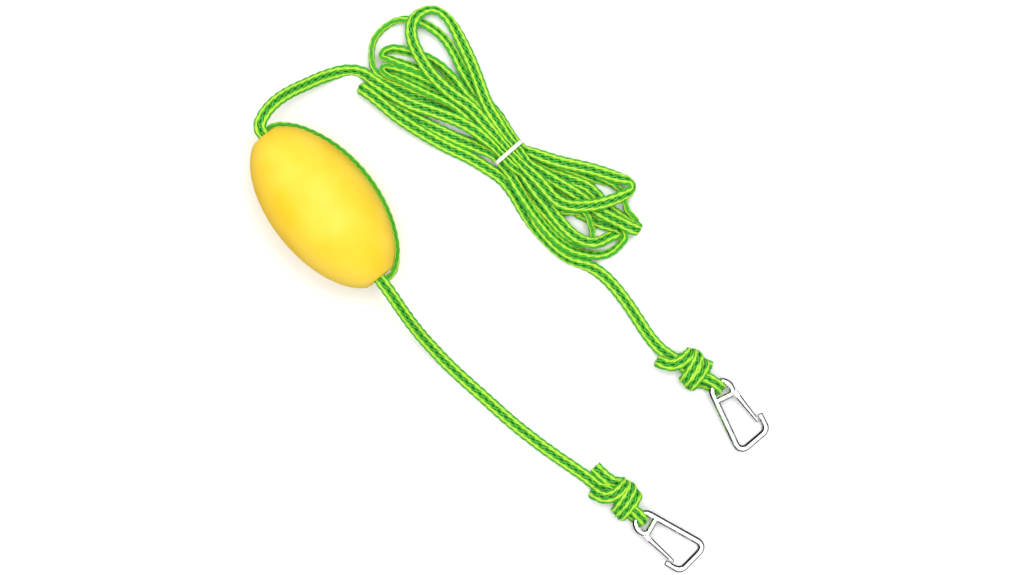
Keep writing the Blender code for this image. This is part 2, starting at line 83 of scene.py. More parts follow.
# The line's columns: place round the section in turns, sideways swing, strand's half width.
COLUMNS = {
    "green": [(0.0, 0.75, 0.90), (0.25, 1.55, 0.78), (0.5, 0.75, 0.90), (0.75, 1.55, 0.78)],
    "lime": [(0.110, 0.55, 0.90), (0.390, 0.55, 0.90), (0.610, 0.55, 0.90), (0.890, 0.55, 0.90)],
}

# ---------------------------------------------------------------- routes: x, y, z, roll in degrees
# Roll 0 lies face up and 90 stands on edge.
UPPER_RUN = [(-191.9, 168.3, 44.2, 0), (-194.4, 173.1, 44.4, 0), (-191.8, 181.7, 43.0, 0),
             (-183.5, 193.3, 36.5, 0), (-172.5, 202.3, 27.0, 0), (-161.0, 209.0, 18.0, 0),
             (-149.5, 215.1, 10.5, 0), (-138.9, 219.6, 6.0, 15), (-130.0, 221.7, 5.4, 45),
             (-123.0, 221.5, 5.4, 50), (-116.0, 218.5, 6.5, 20)]
ENTRY = [(-109.4, 213.7, 8.2, 0), (-95.3, 203.8, 8.2, 0), (-81.2, 195.6, 8.4, 0),
         (-65.5, 190.0, 9.0, 0), (-50.6, 184.6, 10.0, 0), (-34.9, 178.0, 12.0, 0),
         (-22.0, 168.5, 13.6, 0)]
LOOP_S = [(14.0, 136.5, 3.5, 0), (24.0, 125.0, 3.0, 0), (33.5, 117.3, 3.0, 0),
          (43.0, 113.0, 3.2, 10), (52.0, 111.2, 4.2, 50), (58.3, 107.6, 5.3, 90),
          (61.0, 101.0, 5.3, 90), (63.2, 94.0, 5.3, 90), (62.6, 87.5, 5.3, 85),
          (55.5, 83.8, 4.6, 55), (46.8, 87.2, 3.6, 30), (38.6, 94.6, 3.2, 20),
          (31.2, 104.4, 3.0, 10), (23.5, 115.4, 3.0, 0), (13.5, 129.5, 3.0, 0)]
LOOP_C = [(-15.0, 173.5, 3.0, 0), (-30.0, 189.0, 3.5, 20), (-45.0, 203.0, 4.6, 45),
          (-61.0, 214.6, 5.0, 55), (-79.6, 223.6, 5.0, 55), (-94.5, 229.2, 5.2, 62),
          (-104.6, 233.2, 5.3, 85), (-98.0, 237.6, 5.2, 62), (-82.0, 236.0, 5.0, 55),
          (-67.0, 231.0, 5.0, 55), (-55.5, 223.5, 5.5, 55), (-46.5, 212.5, 6.5, 40),
          (-38.0, 200.0, 8.0, 15), (-26.0, 186.0, 8.3, 0)]
LOOP_G = [(17.0, 147.5, 6.5, 0), (30.5, 141.0, 6.0, 0), (45.0, 137.0, 5.6, 0),
          (57.5, 131.6, 5.6, 0), (66.6, 122.6, 6.0, 0), (74.5, 113.5, 6.4, 0),
          (84.5, 105.0, 7.4, 0), (93.5, 99.6, 8.0, 0), (99.6, 95.4, 11.0, 0),
          (92.5, 96.6, 14.4, 0), (83.5, 101.2, 13.2, 0), (75.0, 106.2, 12.0, 0),
          (66.0, 111.6, 11.6, 0), (56.5, 119.0, 11.6, 0), (46.0, 126.4, 11.6, 0),
          (34.5, 133.4, 11.8, 0), (22.5, 140.4, 12.4, 0), (12.5, 147.2, 13.2, 0)]
LOOP_A = [(-12.0, 178.0, 13.6, 0), (-18.6, 190.0, 13.6, 0), (-23.3, 202.0, 13.0, 0),
          (-27.4, 214.0, 12.0, 0), (-31.6, 225.0, 10.5, 0), (-36.4, 236.0, 9.0, 5),
          (-41.4, 246.2, 7.4, 12), (-46.4, 255.4, 6.2, 28), (-53.0, 264.0, 5.6, 45),
          (-61.6, 269.0, 5.6, 50), (-70.6, 267.4, 6.5, 42), (-77.1, 261.8, 8.0, 20),
          (-79.6, 254.5, 9.5, 0), (-79.2, 246.5, 11.5, 0), (-76.5, 238.5, 13.3, 0),
          (-72.6, 230.9, 15.0, 0), (-65.5, 219.9, 16.0, 0), (-55.3, 208.8, 17.0, 0),
          (-45.1, 200.3, 17.5, 0), (-34.1, 192.6, 17.5, 0), (-24.0, 182.5, 16.0, 0)]
LOOP_F = [(9.5, 144.0, 16.0, 0), (19.5, 134.0, 16.0, 0), (27.6, 124.6, 16.0, 0),
          (34.8, 118.2, 16.0, 0), (43.0, 114.6, 16.4, 0), (53.5, 113.5, 17.0, 0),
          (64.0, 114.6, 17.4, 5), (75.5, 117.8, 17.0, 12), (86.5, 122.4, 15.5, 30),
          (94.0, 127.6, 14.5, 60), (93.4, 132.2, 14.5, 62), (85.6, 135.2, 14.5, 25),
          (74.4, 138.9, 14.5, 0), (62.4, 142.8, 14.5, 0), (50.0, 145.8, 14.5, 0),
          (37.6, 148.6, 14.0, 0), (25.4, 152.4, 13.0, 0), (15.0, 156.4, 11.5, 0)]
LOOP_B = [(-9.0, 178.5, 8.3, 0), (-19.0, 190.5, 8.3, 0), (-27.0, 202.5, 8.0, 0),
          (-34.1, 213.7, 7.5, 15), (-39.8, 222.5, 7.0, 30), (-44.5, 231.7, 6.5, 40),
          (-49.5, 240.3, 6.0, 45), (-55.8, 248.2, 6.0, 45), (-63.5, 254.4, 5.8, 45),
          (-71.5, 258.8, 5.6, 50), (-80.0, 261.2, 5.4, 60), (-88.0, 261.3, 5.3, 75),
          (-96.0, 258.4, 5.3, 90), (-103.0, 253.0, 5.3, 90), (-108.4, 246.4, 5.3, 90),
          (-110.8, 238.5, 5.3, 90), (-110.8, 229.4, 5.3, 90), (-108.6, 220.5, 5.0, 70),
          (-101.5, 213.6, 3.5, 30), (-89.0, 206.6, 2.8, 0), (-74.0, 199.8, 2.8, 0),
          (-57.0, 193.0, 2.8, 0), (-40.0, 186.0, 2.8, 0), (-22.0, 177.5, 3.0, 0)]
LOOP_I = [(15.0, 155.0, 3.0, 0), (28.0, 149.5, 3.0, 0), (42.0, 143.6, 3.0, 0),
          (55.0, 139.4, 3.4, 20), (67.5, 135.6, 4.2, 50), (78.0, 131.8, 5.0, 75),
          (84.8, 127.0, 5.3, 90), (88.2, 120.0, 5.3, 90), (89.4, 113.0, 5.3, 90),
          (92.2, 107.0, 5.3, 85), (96.6, 102.8, 4.8, 65), (94.0, 97.6, 4.0, 40),
          (86.5, 95.0, 4.0, 30), (78.5, 91.6, 4.6, 35), (70.5, 87.6, 5.4, 35),
          (62.0, 85.6, 6.6, 25), (54.2, 87.4, 8.0, 20), (46.6, 92.2, 8.4, 15),
          (40.0, 98.8, 8.4, 10), (33.6, 107.6, 8.4, 5), (27.0, 117.2, 8.4, 0),
          (18.0, 129.5, 8.4, 0), (10.0, 139.0, 8.4, 0)]
LOOP_D = [(-20.0, 175.5, 8.3, 0), (-35.0, 188.0, 8.3, 15), (-49.0, 197.0, 7.0, 30),
          (-61.0, 202.9, 6.0, 50), (-75.3, 209.0, 5.2, 55), (-90.6, 214.9, 5.2, 60),
          (-102.6, 217.8, 5.3, 85), (-103.0, 223.4, 5.3, 85), (-94.0, 222.4, 5.2, 62),
          (-84.5, 219.3, 5.0, 55), (-74.0, 214.9, 4.8, 50), (-61.6, 208.8, 4.6, 45),
          (-48.0, 200.5, 4.0, 25), (-32.0, 187.0, 3.0, 0)]
LOOP_J = [(8.0, 141.0, 3.0, 0), (18.0, 131.0, 3.0, 0), (29.0, 121.0, 3.0, 0),
          (43.0, 113.4, 3.0, 0), (56.0, 107.4, 3.0, 0), (67.0, 101.6, 3.0, 0),
          (78.0, 98.4, 3.2, 10), (86.6, 95.4, 4.4, 50), (88.0, 90.2, 5.2, 75),
          (84.6, 84.6, 5.2, 70), (79.8, 79.6, 5.0, 60), (73.2, 76.4, 4.8, 50),
          (65.0, 75.6, 5.2, 50), (56.5, 77.0, 6.2, 50), (48.6, 79.8, 7.2, 50),
          (40.5, 84.2, 8.0, 50), (32.0, 90.2, 8.2, 50), (24.0, 98.0, 8.2, 50),
          (17.2, 107.2, 8.2, 48), (10.8, 118.0, 8.2, 40), (4.6, 129.4, 8.3, 25),
          (-2.4, 140.2, 8.3, 5)]
LOOP_E = [(-30.0, 162.0, 6.0, 0), (-44.0, 166.6, 3.6, 0), (-58.0, 173.0, 3.0, 0),
          (-72.0, 180.0, 3.0, 0), (-86.0, 187.4, 3.0, 0), (-99.5, 194.6, 3.0, 0),
          (-112.0, 202.8, 3.4, 0), (-120.6, 208.2, 8.0, 0), (-113.0, 203.0, 12.2, 0),
          (-103.0, 195.0, 10.5, 0), (-91.0, 185.4, 9.2, 0), (-77.0, 176.2, 8.4, 0),
          (-62.4, 167.8, 7.5, 0), (-48.0, 160.0, 5.4, 0), (-34.0, 152.6, 3.6, 0),
          (-20.5, 144.4, 3.0, 0)]
EXIT = [(-8.5, 136.0, 3.0, 0), (1.0, 124.5, 3.0, 0), (9.5, 110.5, 3.2, 15),
        (18.5, 97.0, 4.2, 45), (27.0, 87.0, 4.8, 55), (36.0, 78.2, 4.8, 55),
        (45.0, 72.2, 4.8, 50), (53.0, 69.4, 4.6, 45), (60.5, 67.0, 4.0, 25)]
LOWER_RUN = [(67.6, 62.8, 3.0, 5), (73.0, 58.5, 2.9, 0), (79.2, 52.1, 2.9, 0),
             (88.6, 40.3, 2.9, 0), (98.1, 26.3, 2.9, 0), (106.2, 13.9, 2.9, 0),
             (112.8, 5.5, 3.1, 0), (118.2, 0.1, 4.2, 0)]
# The leader leaves the top of the bore here; its solid leaves the bottom, up to 8.4 mm lower.
LEADER = [(-101.9, 56.7, 44.2, 0), (-98.6, 52.3, 43.6, 0), (-93.0, 44.3, 40.6, 0),
          (-86.6, 34.3, 34.4, 0), (-79.4, 23.5, 26.2, 0), (-71.4, 12.7, 17.6, 0),
          (-62.4, 2.1, 10.2, 0), (-53.0, -8.3, 5.0, 0), (-43.0, -18.0, 2.9, 0),
          (-33.0, -27.1, 2.9, 0), (-21.7, -37.1, 2.9, 0), (-9.9, -47.8, 2.9, 0),
          (1.9, -58.1, 2.9, 0), (13.8, -67.5, 2.9, 0), (25.6, -76.5, 2.9, 0),
          (37.2, -84.7, 2.9, 0), (47.8, -91.9, 2.9, 0), (58.6, -99.5, 3.1, 0),
          (68.6, -107.5, 4.6, 0)]

# Where each pass of the line goes through the tie: offset across the hank, height.
SLOTS = {
    "entry": (-5.6, 13.7), "af": (1.0, 13.9), "ga": (7.2, 13.6),
    "je": (-10.2, 8.3), "id": (-3.4, 8.4), "cg": (3.2, 8.4), "fb": (10.0, 8.4),
    "dj": (-8.6, 3.0), "sc": (-1.8, 3.0), "bi": (5.6, 3.0),
}
WAIST_REACH = 5.0                    # the passes run straight this far each side of the tie

# Knots, in each knot's own frame: x towards the hook, y across, z up from the floor, and the
# way that the line's width points: x, y, or d for the diagonal between them.
KNOT_HALF = 18.0                     # half length that these rows are drawn for
KNOT_IN = [(-12.0, 0.3, 7.8, "y"), (-4.0, 0.2, 9.0, "y"), (5.0, 0.0, 9.2, "y")]
KNOT_WRAPS = [(17.0, -3.6, 4.2, "y"), (14.0, -8.6, 4.6, "x"), (13.2, -11.0, 8.6, "x"),
              (13.3, -7.6, 12.8, "x"), (13.8, -0.6, 14.8, "x"), (13.7, 6.6, 14.2, "x"),
              (12.4, 12.0, 10.6, "x"), (10.6, 13.0, 6.0, "x"), (9.2, 8.6, 3.0, "x"),
              (8.6, 1.0, 2.9, "x"), (8.2, -6.4, 3.4, "x"), (8.0, -9.8, 7.4, "x"),
              (7.7, -6.6, 12.2, "x"), (7.2, 0.6, 14.9, "x"), (6.4, 8.0, 14.9, "x"),
              (4.6, 14.0, 11.4, "x"), (2.6, 14.6, 6.8, "x"), (0.2, 9.6, 3.2, "x"),
              (-4.6, 2.6, 2.9, "d"), (-10.6, -4.6, 2.9, "d"), (-15.6, -8.4, 4.2, "y"),
              (-18.4, -8.2, 8.2, "y"), (-15.4, -7.4, 11.8, "y"), (-9.6, -5.8, 13.8, "y"),
              (-4.8, -0.4, 15.0, "d"), (-2.4, 6.2, 14.6, "x"), (-1.4, 11.6, 12.0, "x"),
              (-0.8, 13.6, 8.0, "x")]
KNOT_TAILS = {
    "upper": [(1.4, 11.6, 5.0, "y"), (6.0, 10.4, 3.8, "y"), (12.0, 10.4, 3.4, "y"),
              (19.4, 12.4, 3.2, "y")],
    "lower": [(-4.6, 10.6, 5.6, "y"), (-11.0, 7.6, 6.4, "y"), (-19.0, 7.0, 5.4, "y"),
              (-28.0, 8.0, 3.6, "y")],
}


# ---------------------------------------------------------------- curves
def smooth_path(rows, spacing):
    """Even points on a smooth curve through the rows' x, y, z; further columns go along."""
    p = np.asarray(rows, float)
    step = np.linalg.norm(np.diff(p[:, :3], axis=0), axis=1)[:, None]
    slope = np.diff(p, axis=0) / step
    inner = (slope[:-1] * step[1:] + slope[1:] * step[:-1]) / (step[:-1] + step[1:])
    m = np.vstack([slope[:1], inner, slope[-1:]])
    t = np.linspace(0, 1, 16, endpoint=False)[:, None]
    rise = 3 * t**2 - 2 * t**3
    fine = [(1 - rise) * p[i] + rise * p[i + 1]
            + (t**3 - 2 * t**2 + t) * h * m[i] + (t**3 - t**2) * h * m[i + 1]
            for i, h in enumerate(step)]
    fine = np.vstack(fine + [p[-1:]])
    at = np.concatenate([[0], np.cumsum(np.linalg.norm(np.diff(fine[:, :3], axis=0), axis=1))])
    want = np.linspace(0, at[-1], max(3, round(at[-1] / spacing) + 1))
    return np.column_stack([np.interp(want, at, column) for column in fine.T])


def tangents(points):
    along = np.gradient(points, axis=0)
    return along / np.linalg.norm(along, axis=1)[:, None]


def tensor(directions):
    """A direction without a sign, as six numbers that can be averaged."""
    x, y, z = np.asarray(directions, float).T
    return np.column_stack([x * x, y * y, z * z, x * y, x * z, y * z])


def widths(points, six):
    """The line's width direction at each point: square to it, and without flips."""
    along = tangents(points)
    xx, yy, zz, xy, xz, yz = six.T
    full = np.stack([np.stack([xx, xy, xz], 1), np.stack([xy, yy, yz], 1),
                     np.stack([xz, yz, zz], 1)], 1)
    square = np.eye(3) - along[:, :, None] * along[:, None, :]
    wide = np.linalg.eigh(square @ full @ square)[1][:, :, 2]
    wide -= np.sum(wide * along, 1)[:, None] * along
    wide /= np.linalg.norm(wide, axis=1)[:, None]
    flips = np.sign(np.sum(wide[1:] * wide[:-1], axis=1))
    wide[1:] *= np.cumprod(np.where(flips == 0, 1, flips))[:, None]
    return wide


def rolled(rows):
    """Rows of x, y, z, roll as x, y, z and the width direction's six numbers."""
    rows = np.asarray(rows, float)
    plan = rows[:, :2]
    ahead = np.vstack([plan[1:] - plan[:-1], plan[-1:] - plan[-2:-1]])
    behind = np.vstack([ahead[:1], ahead[:-1]])
    heading = ahead + behind
    folded = np.linalg.norm(heading, axis=1) < 0.5 * np.linalg.norm(ahead, axis=1)
    heading[folded] = behind[folded]
    heading /= np.linalg.norm(heading, axis=1)[:, None]
    roll = np.radians(rows[:, 3])
    wide = np.column_stack([-heading[:, 1] * np.cos(roll), heading[:, 0] * np.cos(roll),
                            np.sin(roll)])
    return np.hstack([rows[:, :3], tensor(wide)])


def smoothed(values, passes):
    values = values.copy()
    for _ in range(passes):
        values[1:-1] = 0.25 * values[:-2] + 0.5 * values[1:-1] + 0.25 * values[2:]
    return values


# ---------------------------------------------------------------- meshes
def add_mesh(name, vertices, faces, materials, face_materials=None, uv=None):
    mesh = bpy.data.meshes.new(name)
    mesh.from_pydata((np.asarray(vertices) * MM).tolist(), [], np.asarray(faces).tolist())
    for item in materials:
        mesh.materials.append(item)
    if face_materials is not None:
        mesh.polygons.foreach_set("material_index", np.asarray(face_materials, np.int32))
    if uv is not None:
        layer = mesh.uv_layers.new(name="strand")
        corners = np.empty(len(mesh.loops), np.int32)
        mesh.loops.foreach_get("vertex_index", corners)
        layer.data.foreach_set("uv", uv[corners].astype(np.float32).ravel())
    mesh.shade_smooth()
    mesh.update()
    item = bpy.data.objects.new(name, mesh)
    bpy.context.scene.collection.objects.link(item)
    return item


def ring_faces(rings, sides, first):
    """Quads between successive rings of vertices."""
    i = np.arange(rings - 1)[:, None] * sides
    k = np.arange(sides)[None, :]
    j = (k + 1) % sides
    quads = np.stack([i + k, i + j, i + sides + j, i + sides + k], axis=-1)
    return quads.reshape(-1, 4) + first


ELLIPSE_STEPS = 720


def ellipse_table():
    """Angle on the flat section's ellipse against arc length, and that length in all."""
    fine = np.linspace(0, 2 * pi, ELLIPSE_STEPS + 1)
    speed = np.hypot((HALF_W - STRAND_HALF_T) * np.sin(fine),
                     (HALF_T - STRAND_HALF_T) * np.cos(fine))
    length = np.concatenate([[0], np.cumsum(0.5 * (speed[1:] + speed[:-1]))])
    return fine, length / length[-1], length[-1] * 2 * pi / ELLIPSE_STEPS


FINE_ANGLES, FINE_TURNS, ROUND_LENGTH = ellipse_table()


def even_angles(turn, flatness):
    """Angle on the ellipse at a share of its arc length; flatness 1 is the flat line."""
    whole, part = np.divmod(turn, 1.0)
    even = np.interp(part, FINE_TURNS, FINE_ANGLES)
    return 2 * pi * (whole + part) + flatness * (even - 2 * pi * part)


LENS = np.array([(-1.0, 0.0), (-0.5, 0.9), (0.5, 0.9), (1.0, 0.0), (0.0, -0.8)])


def strand_mesh(points, wide, half_w, half_t, distance, colour):
    """One colour's columns: in each, two strands swing across and over each other in turn."""
    along = tangents(points)
    thick = np.cross(along, wide)
    flatness = np.clip((half_w / half_t - 1) / (HALF_W / HALF_T - 1), 0, 1)
    tight = np.clip((half_w + half_t) / (HALF_W + HALF_T), 0.7, 1)
    w = half_w - STRAND_HALF_T - WEAVE
    t = half_t - STRAND_HALF_T - WEAVE
    vertices, faces, uv = [], [], []
    sides = len(LENS)
    for place, swing, strand_w in COLUMNS[colour]:
        for partner in (0, 1):
            phase = 2 * pi * distance / STITCH + pi * partner + 2 * pi * place
            angle = even_angles(place + swing * np.cos(phase) / ROUND_LENGTH, flatness)
            normal = (np.cos(angle) / w)[:, None] * wide + (np.sin(angle) / t)[:, None] * thick
            normal /= np.linalg.norm(normal, axis=1)[:, None]
            centre = (points + (w * np.cos(angle))[:, None] * wide
                      + (t * np.sin(angle))[:, None] * thick
                      + (WEAVE * np.sin(phase))[:, None] * normal)
            side = np.cross(normal, tangents(centre))
            side /= np.linalg.norm(side, axis=1)[:, None]
            ring = (centre[:, None, :]
                    + LENS[None, :, :1] * (strand_w * tight)[:, None, None] * side[:, None, :]
                    + LENS[None, :, 1:] * STRAND_HALF_T * normal[:, None, :])
            faces.append(ring_faces(len(points), sides, len(vertices) * len(points) * sides))
            vertices.append(ring.reshape(-1, 3))
            u = np.tile(np.linspace(0, 1, sides), len(points))
            v = np.repeat(distance * 0.01 + place + 0.37 * partner, sides)
            uv.append(np.column_stack([u, v]))
    return np.vstack(vertices), np.vstack(faces), np.vstack(uv)


def braid(name, points, wide, half_w, half_t, distance, looks):
    """Two pieces: the green strands over a core coloured dark as painted shade between them, and
    the lime strands.
    """
    vertices, faces, uv = strand_mesh(points, wide, half_w, half_t, distance, "lime")
    lime = add_mesh(f"{name}_lime", vertices, faces, [looks["lime"]], uv=uv)
    vertices, faces, uv = strand_mesh(points, wide, half_w, half_t, distance, "green")
    thick = np.cross(tangents(points), wide)
    turns = np.arange(CORE_SIDES) * 2 * pi / CORE_SIDES
    across, up = np.cos(turns)[None, :, None], np.sin(turns)[None, :, None]
    core = (points[:, None, :] + (half_w - CORE_INSET)[:, None, None] * across * wide[:, None, :]
            + (half_t - CORE_INSET)[:, None, None] * up * thick[:, None, :])
    core_faces = ring_faces(len(points), CORE_SIDES, len(vertices))
    marks = np.concatenate([np.zeros(len(faces)), np.ones(len(core_faces))])
    uv = np.vstack([uv, np.zeros((len(points) * CORE_SIDES, 2))])
    green = add_mesh(f"{name}_green", np.vstack([vertices, core.reshape(-1, 3)]),
                     np.vstack([faces, core_faces]), [looks["green"], looks["core"]], marks, uv)
    for piece in (green, lime):
        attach(piece, ROOT)
    return green, lime


# ---------------------------------------------------------------- materials
def new_material(name):
    made = bpy.data.materials.new(name)
    made.use_nodes = True
    tree = made.node_tree
    return made, tree, tree.nodes["Principled BSDF"]


def strand_material(name, dark, light):
    """Fine yarns that run along each strand, with a little colour drift along the line."""
    made, tree, shader = new_material(name)
    nodes, links = tree.nodes, tree.links
    uv = nodes.new("ShaderNodeUVMap")
    uv.uv_map = "strand"
    stretch = nodes.new("ShaderNodeMapping")
    stretch.inputs["Scale"].default_value = (9.0, 12.0, 1.0)
    yarns = nodes.new("ShaderNodeTexNoise")
    yarns.inputs["Scale"].default_value = 1.6
    yarns.inputs["Detail"].default_value = 2.0
    links.new(uv.outputs["UV"], stretch.inputs["Vector"])
    links.new(stretch.outputs["Vector"], yarns.inputs["Vector"])
    ramp = nodes.new("ShaderNodeValToRGB")
    ramp.color_ramp.elements[0].position = 0.30
    ramp.color_ramp.elements[0].color = (*dark, 1)
    ramp.color_ramp.elements[1].position = 0.62
    ramp.color_ramp.elements[1].color = (*light, 1)
    links.new(yarns.outputs["Fac"], ramp.inputs["Fac"])
    links.new(ramp.outputs["Color"], shader.inputs["Base Color"])
    bump = nodes.new("ShaderNodeBump")
    bump.inputs["Strength"].default_value = 0.35
    bump.inputs["Distance"].default_value = 0.0003
    links.new(yarns.outputs["Fac"], bump.inputs["Height"])
    links.new(bump.outputs["Normal"], shader.inputs["Normal"])
    shader.inputs["Roughness"].default_value = 0.5
    shader.inputs["Specular IOR Level"].default_value = 0.35
    shader.inputs["Sheen Weight"].default_value = 0.15
    return made


def painted_shade_core_material():
    made, tree, shader = new_material("line_core_painted_shade")
    noise = tree.nodes.new("ShaderNodeTexNoise")
    noise.inputs["Scale"].default_value = 900.0
    ramp = tree.nodes.new("ShaderNodeValToRGB")
    # The core's dark greens are painted shade: they show through the gaps between the strands as
    # shaded diamonds.
    ramp.color_ramp.elements[0].color = (0.004, 0.09, 0.002, 1)
    ramp.color_ramp.elements[1].color = (0.010, 0.17, 0.004, 1)
    place = tree.nodes.new("ShaderNodeTexCoord")
    tree.links.new(place.outputs["Object"], noise.inputs["Vector"])
    tree.links.new(noise.outputs["Fac"], ramp.inputs["Fac"])
    tree.links.new(ramp.outputs["Color"], shader.inputs["Base Color"])
    shader.inputs["Roughness"].default_value = 0.8
    return made


def foam_material():
    """Moulded foam skin: fine pores, a soft sheen, and slightly deeper yellow in patches."""
    made, tree, shader = new_material("float_skin")
    nodes, links = tree.nodes, tree.links
    place = nodes.new("ShaderNodeTexCoord")
    patches = nodes.new("ShaderNodeTexNoise")
    patches.inputs["Scale"].default_value = 22.0
    patches.inputs["Detail"].default_value = 3.0
    pores = nodes.new("ShaderNodeTexVoronoi")
    pores.inputs["Scale"].default_value = 620.0
    grain = nodes.new("ShaderNodeTexNoise")
    grain.inputs["Scale"].default_value = 260.0
    grain.inputs["Detail"].default_value = 4.0
    for texture in (patches, pores, grain):
        links.new(place.outputs["Object"], texture.inputs["Vector"])
    ramp = nodes.new("ShaderNodeValToRGB")
    ramp.color_ramp.elements[0].position = 0.35
    ramp.color_ramp.elements[0].color = (0.90, 0.57, 0.008, 1)
    ramp.color_ramp.elements[1].position = 0.65
    ramp.color_ramp.elements[1].color = (0.95, 0.66, 0.050, 1)
    links.new(patches.outputs["Fac"], ramp.inputs["Fac"])
    links.new(ramp.outputs["Color"], shader.inputs["Base Color"])
    rough = nodes.new("ShaderNodeMapRange")
    rough.inputs["To Min"].default_value = 0.42
    rough.inputs["To Max"].default_value = 0.58
    links.new(grain.outputs["Fac"], rough.inputs["Value"])
    links.new(rough.outputs["Result"], shader.inputs["Roughness"])
    both = nodes.new("ShaderNodeMath")
    both.operation = "MULTIPLY_ADD"
    both.inputs[1].default_value = 0.6
    links.new(pores.outputs["Distance"], both.inputs[0])
    links.new(grain.outputs["Fac"], both.inputs[2])
    bump = nodes.new("ShaderNodeBump")
    bump.inputs["Strength"].default_value = 0.18
    bump.inputs["Distance"].default_value = 0.0004
    links.new(both.outputs["Value"], bump.inputs["Height"])
    links.new(bump.outputs["Normal"], shader.inputs["Normal"])
    shader.inputs["Specular IOR Level"].default_value = 0.5
    return made


def steel_material(name, tint, low, high):
    """Polished steel with faint drawing marks and smears in its gloss."""
    made, tree, shader = new_material(name)
    nodes, links = tree.nodes, tree.links
    place = nodes.new("ShaderNodeTexCoord")
    smears = nodes.new("ShaderNodeTexNoise")
    smears.inputs["Scale"].default_value = 140.0
    smears.inputs["Detail"].default_value = 5.0
    links.new(place.outputs["Object"], smears.inputs["Vector"])
    rough = nodes.new("ShaderNodeMapRange")
    rough.inputs["To Min"].default_value = low
    rough.inputs["To Max"].default_value = high
    links.new(smears.outputs["Fac"], rough.inputs["Value"])
    links.new(rough.outputs["Result"], shader.inputs["Roughness"])
    ramp = nodes.new("ShaderNodeValToRGB")
    ramp.color_ramp.elements[0].color = (*[c * 0.94 for c in tint], 1)
    ramp.color_ramp.elements[1].color = (*tint, 1)
    links.new(smears.outputs["Fac"], ramp.inputs["Fac"])
    links.new(ramp.outputs["Color"], shader.inputs["Base Color"])
    shader.inputs["Metallic"].default_value = 1.0
    return made


def tie_material():
    made, tree, shader = new_material("tie_plastic")
    place = tree.nodes.new("ShaderNodeTexCoord")
    noise = tree.nodes.new("ShaderNodeTexNoise")
    noise.inputs["Scale"].default_value = 300.0
    ramp = tree.nodes.new("ShaderNodeValToRGB")
    ramp.color_ramp.elements[0].color = (0.76, 0.75, 0.66, 1)
    ramp.color_ramp.elements[1].color = (0.92, 0.91, 0.84, 1)
    tree.links.new(place.outputs["Object"], noise.inputs["Vector"])
    tree.links.new(noise.outputs["Fac"], ramp.inputs["Fac"])
    tree.links.new(ramp.outputs["Color"], shader.inputs["Base Color"])
    shader.inputs["Roughness"].default_value = 0.35
    return made


LOOKS = {
    "green": strand_material("strand_green", (0.010, 0.24, 0.002), (0.060, 0.52, 0.012)),
    "lime": strand_material("strand_lime", (0.24, 0.56, 0.010), (0.50, 0.84, 0.045)),
    "core": painted_shade_core_material(),
    "foam": foam_material(),
    "steel": steel_material("polished_steel_look", (0.88, 0.89, 0.91), 0.05, 0.14),
    "spring": steel_material("spring_steel_look", (0.62, 0.63, 0.66), 0.22, 0.34),
    "tie": tie_material(),
}


# ---------------------------------------------------------------- camera
CAMERA_AT = (-0.0020, 0.0502, 1.6)
SENSOR_MM, VIEW_WIDTH = 36.0, 0.8058
camera_data = bpy.data.cameras.new("camera")
camera_data.sensor_width = SENSOR_MM
camera_data.lens = SENSOR_MM * CAMERA_AT[2] / VIEW_WIDTH
camera = bpy.data.objects.new("camera", camera_data)
camera.location = CAMERA_AT
bpy.context.scene.collection.objects.link(camera)
bpy.context.scene.camera = camera
bpy.context.scene.view_settings.view_transform = "Standard"


# ---------------------------------------------------------------- float
def float_point(x, y, z):
    c, s = cos(FLOAT_HEADING), sin(FLOAT_HEADING)
    return (FLOAT_CENTRE[0] + c * x - s * y, FLOAT_CENTRE[1] + s * x + c * y, FLOAT_CENTRE[2] + z)


def float_direction(x, y, z):
    c, s = cos(FLOAT_HEADING), sin(FLOAT_HEADING)
    return (c * x - s * y, s * x + c * y, z)


def float_radius(x):
    half_axis = (FLOAT_L / 2) / sqrt(1 - (FLOAT_FLAT_D / FLOAT_D) ** 2)
    return FLOAT_D / 2 * sqrt(1 - (x / half_axis) ** 2)


def build_float(stations=64, segments=96):
    """The egg-shaped body with soft edges round its flats and its bore."""
    xs = [-FLOAT_L / 2 * cos(pi * i / stations) for i in range(1, stations)]
    flat_r, bore_r, end, edge = FLOAT_FLAT_D / 2, FLOAT_BORE_D / 2, FLOAT_L / 2, 0.9
    rim = [(end, flat_r - 0.6), (end, bore_r + edge), (end - 0.3 * edge, bore_r + 0.3 * edge),
           (end - edge, bore_r)]
    bore = [(end * 0.6, bore_r), (0.0, bore_r), (-end * 0.6, bore_r)]
    profile = [(x, float_radius(x)) for x in xs] + rim + bore
    profile += [(-x, r) for x, r in reversed(rim)]
    turns = [2 * pi * i / segments for i in range(segments)]
    vertices = [float_point(x, r * cos(t), r * sin(t)) for x, r in profile for t in turns]
    faces = ring_faces(len(profile), segments, 0)
    last = (len(profile) - 1) * segments
    k = np.arange(segments)
    closing = np.stack([last + k, last + (k + 1) % segments, (k + 1) % segments, k], axis=1)
    body = add_mesh("float_foam_body", vertices, np.vstack([faces, closing]), [LOOKS["foam"]])
    body.data.set_sharp_from_angle(angle=radians(50))
    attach(body, ROOT)
    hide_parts("float_body")


